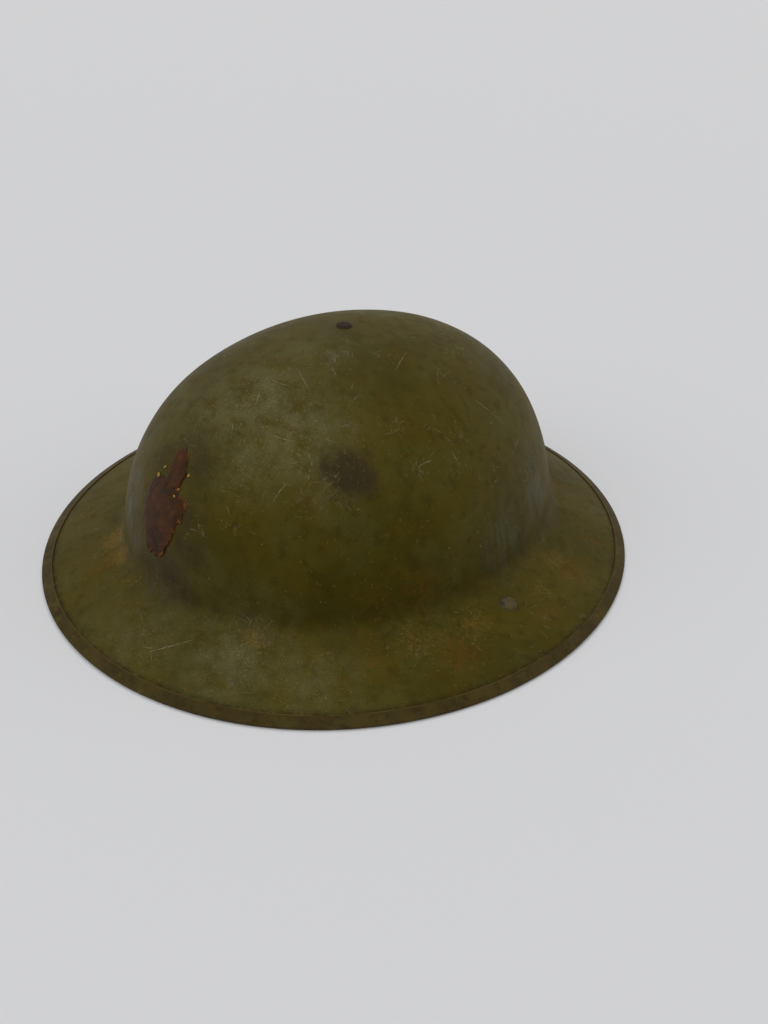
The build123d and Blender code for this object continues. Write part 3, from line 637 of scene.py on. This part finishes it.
def flake(name, tree, middle, size, tilt, material, seed, lift, taper=0.0):
    """A ragged flake on the front of the bowl, thick in the middle and lifted at its lower right."""
    spot, out = on_steel(tree, *middle)
    across = Vector((0, 0, 1)).cross(out).normalized()
    up = out.cross(across).normalized()
    turn = Matrix.Rotation(math.radians(tilt), 3, out)
    across, up = turn @ across, turn @ up
    step = 0.6
    half_wide, half_tall = size[0] / 2, size[1] / 2
    reach = int(max(size) / step)
    inside = {}
    for i in range(-reach, reach + 1):
        for j in range(-reach, reach + 1):
            v = j * step / half_tall
            u = (i * step / half_wide + 0.25 * (1 - v) * taper) / (1 + taper * v)
            square = (abs(u) ** 2.6 + abs(v) ** 2.6) ** (1 / 2.6)
            lobes = 0.18 * noise.noise(Vector((u * 1.6, v * 1.6, seed)))
            torn = 0.1 * noise.noise(Vector((i * step / 2.2, j * step / 2.2, seed + 4)))
            depth = 1 + lobes + torn - square
            if depth > 0:
                inside[i, j] = depth
    points, faces, edge, place_of = [], [], [], {}
    for (i, j), depth in inside.items():
        place, way = on_steel(tree, *(spot + across * i * step + up * j * step))
        corner = max(0.0, (i * step / half_wide - j * step / half_tall) / 1.6 - 0.3)
        swell = 0.25 * noise.noise(Vector((i * step / 4, j * step / 4, seed)))
        rise = 0.1 + (0.55 + swell) * min(depth * 4, 1) + lift * corner ** 2
        place_of[i, j] = len(points)
        points.append(tuple(place + way * rise))
        edge.append(max(0.0, 1 - depth * 4) * (1.0 if i > 0 else 0.4))
    for i, j in inside:
        corners = [(i, j), (i + 1, j), (i + 1, j + 1), (i, j + 1)]
        if all(corner in place_of for corner in corners):
            faces.append([place_of[corner] for corner in corners])
    made = piece(name, points, faces, material, "helmet", slot="painted_steel", sharp=60)
    note(made, "edge", edge)
    soften = made.modifiers.new("soften", "SMOOTH")
    soften.factor, soften.iterations = 0.5, 3
    thick = made.modifiers.new("thickness", "SOLIDIFY")
    thick.thickness, thick.offset = 0.4 * MM, -1


# Liner

def oilcloth_hood(material):
    """Sewn dome of oilcloth: six gores, with seams raised inside, and slack ripples."""
    rings = bowl_rings(HOOD_HEM, 40)
    outer = inset(rings, SHEET + HOOD_GAP + 0.15)
    inner = inset(rings, SHEET + HOOD_GAP + HOOD_CLOTH - 0.05)
    around, gores, seam_width, seam_rise = 240, 6, 1.6, 0.5
    points, faces = hoops(outer + inner[::-1], around)
    for index in range(len(outer) * around, len(points)):
        x, y, z = points[index]
        turned = (index % around / around * gores) % 1
        seam = min(turned, 1 - turned) * math.tau / gores * math.hypot(x, y)
        ripple = 0.25 * noise.noise(Vector((x / 14, y / 14, z / 30)))
        ripple += seam_rise * math.exp(-(seam / seam_width) ** 2) - seam_rise / 2
        out = Vector((x, y, z * 0.6)).normalized()
        points[index] = (x - out.x * ripple, y - out.y * ripple, z - out.z * ripple)
    hood = outward(piece("oilcloth_hood", points, faces, material, "helmet", "liner_hood", "oilcloth"))


def band_ring(height, depth):
    """Outline of the headband at a height, at a depth from its inner face."""
    taper = 1 - BAND_LEAN / BAND_WIDTH * (height - BAND_LOW) / (BAND_HIGH - BAND_LOW)
    return (BAND_WIDTH * taper + depth, BAND_LENGTH * taper + depth, BOWL_SETBACK, height)


def leather_headband(material):
    """The leather band round the head, its edges pared round and its face a little slack."""
    pare, steps = 0.6, 16
    run = BAND_HIGH - BAND_LOW - 2 * pare
    section = [(BAND_LOW, 0.5), (BAND_LOW + 0.15, 0.15), (BAND_LOW + pare, 0.0)]
    section += [(BAND_LOW + pare + run * k / steps, 0.0) for k in range(1, steps + 1)]
    section += [(BAND_HIGH - 0.15, 0.15), (BAND_HIGH, 0.6), (BAND_HIGH, 1.2), (BAND_HIGH - 0.15, 1.65)]
    section += [(BAND_HIGH - pare - run * k / steps, BAND_LEATHER) for k in range(steps + 1)]
    section += [(BAND_LOW + 0.15, 1.65), (BAND_LOW, 1.3)]
    points, faces = hoops([band_ring(height, depth) for height, depth in section], 200)
    for index, (x, y, z) in enumerate(points):
        slack = 0.3 * noise.noise(Vector((x / 20, y / 20, z / 15)))
        middle = math.sin(math.pi * (z - BAND_LOW) / (BAND_HIGH - BAND_LOW))
        out = Vector((x, y, 0)).normalized() * slack * middle
        points[index] = (x + out.x, y + out.y, z)
    outward(piece("leather_headband", points, faces, material, "helmet", "headband", "headband_leather"))


def stitch(middle, along, out, length=2.4, thick=0.55):
    """Points and faces of a short stitch, its ends bent down into the leather."""
    middle, along, out = Vector(middle), Vector(along).normalized(), Vector(out).normalized()
    side = out.cross(along)
    points, sides = [], 6
    for end, lean, foot in ((-0.5, 0.25, True), (-0.3, 1, False), (0.3, 1, False), (0.5, 0.25, True)):
        for turn in turns(sides):
            wide, tall = lean * math.cos(turn), lean * (-0.6 if foot else math.sin(turn))
            points.append(tuple(middle + along * length * end + (side * wide + out * tall) * thick / 2))
    return points, rod(4, sides)


def headband_stitches(material):
    """Two rows of lock stitch inside the band, and two short rows where its ends lap at the back."""
    parts = []
    for height in (BAND_LOW + 2.6, BAND_HIGH - 7.5):
        ring = band_ring(height, 0.0)
        width, length = ring[:2]
        count = int(math.pi * (width + length) / 4.0)
        for turn in turns(count):
            along = (-width * math.sin(turn), length * math.cos(turn), 0)
            parts.append(stitch(on_ring(ring, turn), along, (-math.cos(turn), -math.sin(turn), 0)))
    for side in (-7.0, 7.0):
        for k in range(8):
            height = BAND_LOW + 4.5 + 3.4 * k
            length, middle = band_ring(height, 0)[1:3]
            spot = (side, middle + length * math.sqrt(1 - (side / BAND_WIDTH) ** 2), height)
            parts.append(stitch(spot, (0, -0.12, 1), (0, -1, 0)))
    piece("headband_stitches", *join_up(parts), material, "helmet")


def course(path, k):
    """Direction of a path at its point k, from the points on both sides of it."""
    return (path[min(k + 1, len(path) - 1)] - path[max(k - 1, 0)]).normalized()


def tube_along(points, radius, sides):
    """Points and faces of a round cord along a list of points, with closed ends."""
    rows, before = [], None
    for k, point in enumerate(points):
        way = course(points, k)
        side = before - way * before.dot(way) if before is not None else way.orthogonal()
        side.normalize()
        before = side
        up = way.cross(side)
        for turn in turns(sides):
            rows.append(tuple(point + (side * math.cos(turn) + up * math.sin(turn)) * radius))
    return rows, rod(len(points), sides)


def net_point(turn_round, climb):
    """Middle of the net's cord: 0 at the headband, 1 at the ring in the middle."""
    rise = math.radians(79.0) * climb
    depth = NET_TWINE / 2
    start = ((NET_WIDTH + depth) * math.cos(rise), (NET_LENGTH + depth) * math.cos(rise), BOWL_SETBACK,
             NET_FOOT + (NET_RISE + depth) * math.sin(rise))
    ring = (RING_RADIUS + 0.6, RING_RADIUS + 0.6, BOWL_SETBACK, RING_HEIGHT)
    return Vector(on_ring(blend(start, ring, max(0.0, (climb - 0.8) / 0.2) ** 2), turn_round))


def knotted_net(material):
    """Diamond net: cords climb both ways round from the headband and are knotted where they cross."""
    cords, steps, twist = 30, 24, math.radians(84)
    parts = []
    for way in (-1, 1):
        for start in turns(cords):
            path = [net_point(start + way * twist * s / steps, s / steps) for s in range(steps + 1)]
            path = [Vector((path[0].x * 1.004, path[0].y * 1.004, path[0].z))] + path
            parts.append(tube_along(path, NET_TWINE / 2 - 0.15, 6))
    spacing = math.tau / cords
    for start in turns(cords):
        for row in range(1, int(2 * twist / spacing) - 1):
            climb = row * spacing / (2 * twist)
            centre = net_point(start + twist * climb, climb)
            knot = [tuple(centre + Vector((size * math.cos(turn), size * math.sin(turn), tall)))
                    for tall, size in ((-0.9, 0.65), (0.0, 1.2), (0.9, 0.65)) for turn in turns(6)]
            parts.append((knot, rod(3, 6)))
    piece("knotted_net", *join_up(parts), material, "helmet", "liner_net", "net_twine", 70)


def net_lacing(material):
    """The loops of cord that tie the net over the headband's top edge."""
    count, steps, cord = 60, 12, 0.6
    ring = band_ring(BAND_HIGH - 2.6, BAND_LEATHER / 2)
    parts = []
    for k in range(count):
        turn = math.tau * (k + 0.5) / count
        lean = Vector((math.cos(turn), math.sin(turn), 0))
        path = []
        for step in range(steps + 1):
            bend = math.radians(-40 + 260 * step / steps)
            out = math.cos(bend) * (BAND_LEATHER / 2 + cord + 0.02)
            tall = math.sin(bend) * (3.6 if math.sin(bend) > 0 else 2.0)
            path.append(Vector(on_ring(ring, turn)) + lean * out + Vector((0, 0, tall)))
        parts.append(tube_along(path, cord, 6))
    piece("net_lacing", *join_up(parts), material, "helmet", slot="net_twine", sharp=70)


def twisted_drawstring(material):
    """Two strands laid together round the net's middle, tied in a flat knot at the back."""
    parts = []
    steps, twists, lay = 120, 14, 0.7
    for strand in (0, math.pi):
        path = []
        for k in range(steps + 1):
            turn = math.tau * k / steps
            reach = RING_RADIUS + lay * math.cos(strand + turn * twists)
            height = RING_HEIGHT + lay * math.sin(strand + turn * twists)
            path.append(Vector(on_ring((reach, reach, BOWL_SETBACK, height), turn)))
        parts.append(tube_along(path, 0.75, 8))
    for way in (-1, 1):
        loop = []
        for k in range(17):
            bend = math.tau * k / 16
            loop.append(Vector((way * (2.0 + 2.4 * (1 - math.cos(bend)) / 2),
                                BOWL_SETBACK + RING_RADIUS - 0.2 + 1.3 * math.sin(bend),
                                RING_HEIGHT - 1.6 + 0.5 * math.sin(2 * bend))))
        parts.append(tube_along(loop, 0.6, 6))
    piece("twisted_drawstring", *join_up(parts), material, "helmet", "net_drawstring", "drawstring_twine", 70)


def dome_height(x, y, depth):
    """Height inside the bowl at a depth under its top surface."""
    low, high = math.radians(20), math.radians(89.9)
    for _ in range(40):
        middle = (low + high) / 2
        width, length, centre, _ = bowl_ring(middle)
        if (x / (width - depth)) ** 2 + ((y - centre) / (length - depth)) ** 2 > 1:
            high = middle
        else:
            low = middle
    return bowl_ring(low)[3] - depth * 1.02


def felt_pad(material):
    """Felt disc with a hole for the rivet, plump between the hood and the net."""
    inner, outer, across, around = PAD_HOLE + 0.3, PAD_RADIUS - 0.3, 12, 72
    deep = SHEET + HOOD_GAP + HOOD_CLOTH + PAD_GAP + 0.15
    over_net = NET_TWINE + PAD_GAP + 0.3
    shares = [k / across for k in range(across + 1)]
    rows = [(share, 1) for share in shares] + [(share, -1) for share in reversed(shares)]
    points = []
    for share, side in rows:
        reach = inner + (outer - inner) * share
        fat = min(1.0, math.sin(math.pi * share) * 3.2) ** 0.45 if 0 < share < 1 else 0.0
        for turn in turns(around):
            x, y, _ = on_ring((reach, reach, 0, 0), turn)
            roof = dome_height(x, y, deep)
            middle = (x / (NET_WIDTH + NET_TWINE)) ** 2
            middle += ((y - BOWL_SETBACK) / (NET_LENGTH + NET_TWINE)) ** 2
            floor = NET_FOOT + (NET_RISE + over_net) * math.sqrt(1 - middle)
            half = (roof - floor) / 2 * (0.25 + 0.75 * fat)
            fuzz = abs(0.12 * noise.noise(Vector((x / 3, y / 3, side * 5))))
            points.append((x, y, (roof + floor) / 2 + side * (half - fuzz)))
    faces = skin(len(rows), around)
    pad = outward(piece("felt_pad", points, faces, material, "helmet", "crown_pad", "felt", 50))


def tube_middle(height, turn):
    """Midway between the headband and the hood."""
    band, bowl = band_ring(height, BAND_LEATHER), bowl_ring(turn_at(height))
    depth = SHEET + HOOD_GAP + HOOD_CLOTH
    ring = [(band[k] + bowl[k] - depth) / 2 for k in (0, 1)] + [BOWL_SETBACK, height]
    return Vector(on_ring(ring, turn))


def rubber_tube(number, material):
    """One buffer tube: soft lips, a little squashed between the band and the hood."""
    turn = math.tau * (number - 0.5) / TUBE_COUNT
    foot, head = tube_middle(TUBE_LOW, turn), tube_middle(TUBE_LOW + TUBE_LENGTH, turn)
    way = (head - foot).normalized()
    side = Vector((math.cos(turn), math.sin(turn), 0))
    side = (side - way * side.dot(way)).normalized()
    across = way.cross(side)
    outer, bore, half, lip, waist, sides = TUBE_DIAMETER / 2, TUBE_BORE / 2, TUBE_LENGTH / 2, 0.9, 0.15, 32
    low = [(bore, -half + 0.5), (bore + 0.5, -half), (outer - 0.7, -half), (outer - 0.2, -half + 0.25),
           (outer, -half + lip)]
    profile = list(low)
    for k in range(1, 8):
        along = -half + lip + (TUBE_LENGTH - 2 * lip) * k / 8
        profile.append((outer - waist * math.sin(math.pi * k / 8), along))
    profile += [(reach, -along) for reach, along in reversed(low)]
    points = []
    for reach, along in profile:
        for bend in turns(sides):
            points.append(tuple((head + foot) / 2 + way * along + side * reach * math.cos(bend)
                                + across * reach * math.sin(bend)))
    outward(piece(f"rubber_tube_{number:02d}", points, skin(len(profile), sides), material, "helmet",
                  f"buffer_tube_{number:02d}", "tube_rubber"))


# Chin strap: routes in X and Z, drawn for the left side and mirrored for the right

def off(start, *moves):
    """A point reached from a start by (direction, distance) moves."""
    x, z = start
    for way, distance in moves:
        x, z = x + way[0] * distance, z + way[1] * distance
    return (x, z)


def arc(middle, radius, first, last, steps):
    return [(middle[0] + radius * math.cos(first + (last - first) * k / steps),
             middle[1] + radius * math.sin(first + (last - first) * k / steps)) for k in range(steps + 1)]


def rounded(corners, radii, steps=8):
    """Points along runs between corners, each inner corner turned at its radius."""
    route = [corners[0]]
    for before, here, after, radius in zip(corners, corners[1:], corners[2:], radii):
        back = Vector((before[0] - here[0], before[1] - here[1]))
        ahead = Vector((after[0] - here[0], after[1] - here[1]))
        bend = math.pi - back.angle(ahead)
        reach = min(radius * math.tan(bend / 2), back.length * 0.49, ahead.length * 0.49)
        first = Vector(here) + back.normalized() * reach
        last = Vector(here) + ahead.normalized() * reach
        for k in range(steps + 1):
            share = k / steps
            spot = first * (1 - share) ** 2 + Vector(here) * 2 * share * (1 - share) + last * share ** 2
            route.append((spot.x, spot.y))
    return route + [corners[-1]]


def folded(start, along, out, radius):
    """A strap's end folded round a bar: its tip, where it first lies flat, and the turn itself."""
    tip, flat = [off(start, (along, reach), (out, STRAP_LAYER)) for reach in (FOLD_LENGTH, FOLD_TAPER)]
    first = math.atan2(out[1], out[0])
    return [tip, flat] + arc(off(start, (out, radius)), radius, first, first - math.pi, 14)


def short_route():
    """The left strap: round the bail, up inside the net, round the buckle's bar and back."""
    bail = folded(STRAP_FOOT, STRAP_WAY, STRAP_OUT, BAIL_TURN)
    run = rounded([STRAP_FOOT, STRAP_SHOULDER, STRAP_END], [STRAP_BEND])
    buckle = folded(STRAP_END, STRAP_BACK, STRAP_IN, BUCKLE_TURN)
    return bail + run[1:] + buckle[-2::-1]


def long_route():
    """The right strap: round the bail, up inside the net, doubled back down to the keeper."""
    run = rounded([STRAP_FOOT, STRAP_SHOULDER, LONG_CROWN, LONG_TOP], [STRAP_BEND, CROWN_BEND])
    first = math.atan2(-LONG_IN[1], -LONG_IN[0])
    turn = arc(off(LONG_TOP, (LONG_IN, LONG_TURN)), LONG_TURN, first, first + math.pi, 14)
    back = rounded([turn[-1], *LONG_BACK], [CROWN_BEND, BACK_BEND, CROWN_BEND])
    return folded(STRAP_FOOT, STRAP_WAY, STRAP_OUT, BAIL_TURN) + run[1:] + turn[1:] + back[1:]


def even(route, step):
    """The same route with its points about a step apart."""
    kept = [Vector(route[0])]
    for here in route[1:]:
        here = Vector(here)
        span = (here - kept[-1]).length
        pieces = max(int(round(span / step)), 1)
        first = kept[-1].copy()
        for k in range(1, pieces + 1):
            kept.append(first.lerp(here, k / pieces))
    return kept


def strap(name, node, route, side, body, material):
    """Flat leather along a route, its edges pared round and its ends cut square."""
    path = even(route, 2.0)
    half_wide, half_thick, pare = STRAP_WIDTH / 2, STRAP_LEATHER / 2, 0.45
    edge = [(half_wide - pare, -half_thick), (half_wide, -half_thick + pare), (half_wide, half_thick - pare),
            (half_wide - pare, half_thick), (0, half_thick)]
    section = edge + [(-wide, -thick) for wide, thick in edge]
    points = []
    for k, spot in enumerate(path):
        way = course(path, k)
        normal = Vector((-way.y, way.x))
        for wide, thick in section:
            at = spot + normal * thick
            points.append((side * at.x, wide, at.y))
    outward(piece(name, points, rod(len(path), len(section)), material, body, node, "strap_leather"))


def leather_keeper(material):
    """Loop of thin leather round both layers of the long strap."""
    half_thick, half_wide = (KEEPER_THICK + KEEPER_LEATHER) / 2, (KEEPER_WIDE + KEEPER_LEATHER) / 2
    half, long, corner, pare = KEEPER_LEATHER / 2, KEEPER_LENGTH / 2, 1.1, (0.25, 0.3)
    outline = []
    for way_x, way_y, first in ((1, 1, 0), (-1, 1, 90), (-1, -1, 180), (1, -1, 270)):
        for k in range(5):
            turn = math.radians(first + 22.5 * k)
            out_x, out_y = math.cos(turn), math.sin(turn)
            outline.append((way_x * (half_thick - corner) + corner * out_x,
                            way_y * (half_wide - corner) + corner * out_y, out_x, out_y))
    edge = [(half - pare[0], -long), (half, -long + pare[1]), (half, long - pare[1]), (half - pare[0], long)]
    section = edge + [(-out, -along) for out, along in edge]
    points = []
    for x, y, out_x, out_y in outline:
        for out, along in section:
            at = off(KEEPER_MIDDLE, (STRAP_OUT, x + out_x * out), (STRAP_WAY, along))
            points.append((-at[0], y + out_y * out, at[1]))
    outward(piece("leather_keeper", points, skin(len(outline), len(section)), material, "keeper",
                  "strap_keeper", "strap_leather"))


# The helmet

def refinish(finish, *names):
    """Give bodies that stay as in the CAD their material."""
    for name in names:
        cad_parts[name].data.materials.clear()
        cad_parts[name].data.materials.append(finish)


# Bare steel inside. The rivets outside are matt: one rusted brown, two rubbed down to old paint
refinish(worn_steel("drawn_steel_wire", "#57504A", 0.45), "crown_washer", "bail_bracket_left",
         "bail_bracket_right", "bail_left", "bail_right", "strap_buckle")
refinish(worn_steel("rusted_rivet_steel", "#2C1A12", 0.6, 0.6, 0, 0.2), "crown_rivet")
refinish(worn_steel("rubbed_rivet_steel", "#544C2A", 0.65, 0.6, 0, 0.2), "bail_rivet_left",
         "bail_rivet_right")
# Turned brass, dulled to a brown gold
refinish(simple_material("aged_brass", 1, 0.38, "#9A7A3E", [("#4E3D22", 2, 4, 0.4, 0.7, 1)]),
         "strap_rivets_left", "strap_rivet_right")

shell = steel_shell(olive_drab_paint())
rim_binding(band_paint())
surface = BVHTree.FromPolygons([v.co for v in shell.data.vertices],
                               [list(p.vertices) for p in shell.data.polygons])
scrapes("long_scrapes", surface, LONG_SCRAPES, scraped_paint("scraped_paint", "#7A7048"), 0.6)
webs = chance_scrapes(surface, WEB_SCRAPES)
scrapes("short_scrapes", surface, webs, scraped_paint("rubbed_paint", "#665E34"), 0.36)
webs = chance_scrapes(surface, WEB_SCRAPES)
scrapes("faint_scrapes", surface, webs, scraped_paint("dulled_paint", "#554D22"), 0.6)
scrapes("dark_cracks", surface, DARK_CRACKS, scraped_paint("dark_crack", "#1E1A10"), 0.6)

lacquer = old_lacquer()
flake("lacquer_flake_large", surface, (3, -109, 51), (26, 36), 6, lacquer, 2.3, 2.6, 0.3)
flake("lacquer_flake_upper", surface, (3, -97, 71), (12, 19), 12, lacquer, 5.1, 0.4, -0.15)
ochre = scraped_paint("ochre_crumbs", "#A87A30")
for number, spot in enumerate(CRUMBS):
    size = (chance.uniform(1.6, 3.0), chance.uniform(2.0, 3.6))
    flake(f"lacquer_crumb_{number + 1}", surface, spot, size, 50 * number, ochre, number, 0)

oilcloth_hood(oilcloth())
leather_headband(saddle_leather("headband_leather", "#4E3826", "#2E2118"))
# Linen thread drawn through wax: a dull straw, dark where it has gripped dirt
headband_stitches(simple_material("waxed_thread", 0, 0.7, "#8C7A58", [("#5E4E36", 1.5, 3, 0.4, 0.7, 1)]))
net_cord = twine("linen_net_cord", "#8C8060", "#5C5138", 2.0)
knotted_net(net_cord)
net_lacing(net_cord)
twisted_drawstring(twine("linen_drawstring", "#A39672", "#6E6244", 3.0))
# Pressed wool felt: matt, fuzzy, flecked with darker fibres
felt_pad(simple_material("grey_felt", 0, 0.95, "#5B564B", [("#3B372F", 1.2, 6, 0.4, 0.7, 1)],
                         [((0.8, 6), 0.4, 0.7)], 0.4))
# Extruded rubber tube, perished to a dusty brown-black
rubber = simple_material("perished_rubber", 0, 0.75, "#2E2622", [("#4A3A32", 5, 5, 0.4, 0.7, 1)],
                         [((1.0, 5), 0.15, 0.5)])
for number in range(1, TUBE_COUNT + 1):
    rubber_tube(number, rubber)

hide = saddle_leather("saddle_leather", "#5C3A20", "#3A2414")
strap("strap_with_buckle", "chinstrap_left", short_route(), 1, "strap_left", hide)
strap("strap_doubled_back", "chinstrap_right", long_route(), -1, "strap_right", hide)
leather_keeper(hide)


# Floor, light and camera

REACH = 60  # metres to the floor's edge
floor_mesh = bpy.data.meshes.new("floor")
floor_mesh.from_pydata([(-REACH, -REACH, 0), (REACH, -REACH, 0), (REACH, REACH, 0), (-REACH, REACH, 0)],
                       [], [(0, 1, 2, 3)])
floor = bpy.data.objects.new("floor", floor_mesh)
bpy.context.collection.objects.link(floor)
# Plain board, matt and near white
floor_finish, _, floor_shader, _ = new_material("plain_floor", 0, 0.9)
floor_shader.inputs["Base Color"].default_value = linear("#F2F3F7")
floor_mesh.materials.append(floor_finish)


def soft_sun(name, towards, strength):
    """Even light from far off, softened by the width of its source."""
    lamp = bpy.data.lights.new(name, "SUN")
    lamp.energy, lamp.angle = strength, math.radians(70)
    made = bpy.data.objects.new(name, lamp)
    made.rotation_euler = Vector(towards).to_track_quat("Z", "Y").to_euler()
    made.location = Vector(towards)
    bpy.context.collection.objects.link(made)


soft_sun("ceiling_light", (0, 0, 1), 1.09)
soft_sun("front_light", (-0.2, -0.88, 0.6), 0.62)
soft_sun("side_light", (0.65, 0.68, 0.5), 0.38)

world = bpy.data.worlds.new("pale_room")
bpy.context.scene.world = world
world.use_nodes = True
sky = world.node_tree.nodes["Background"]
sky.inputs["Color"].default_value = linear("#ECEAE3")
# The wall is pale where it is seen or mirrored, and lights the helmet less
looks = add(world.node_tree, "LightPath", output="Is Camera Ray")
rays = looks.node.outputs
for kind in ("Is Transmission Ray", "Is Glossy Ray"):
    looks = add(world.node_tree, "Math", {"operation": "MAXIMUM"}, {0: looks, 1: rays[kind]})
level = add(world.node_tree, "MapRange", {"To Min": 0.23, "To Max": 0.78}, {"Value": looks})
world.node_tree.links.new(level, sky.inputs["Strength"])

# The photo's camera, solved from the helmet's outlines: its place, and its picture's right and up
CAMERA_LENS, CAMERA_PLACE = 31.306, (0.30021, -0.26763, 0.26499)
CAMERA_RIGHT, CAMERA_UP = Vector((0.690833, 0.722335, 0.031322)), Vector((-0.407477, 0.353189, 0.842152))
camera = bpy.data.cameras.new("camera")
camera.lens = CAMERA_LENS
view = bpy.data.objects.new("camera", camera)
back = CAMERA_RIGHT.cross(CAMERA_UP).normalized()
turned = Matrix((CAMERA_RIGHT, CAMERA_UP, back)).transposed()
view.matrix_world = Matrix.Translation(CAMERA_PLACE) @ turned.to_4x4()
bpy.context.collection.objects.link(view)
bpy.context.scene.camera = view
bpy.context.scene.view_settings.view_transform = "Standard"
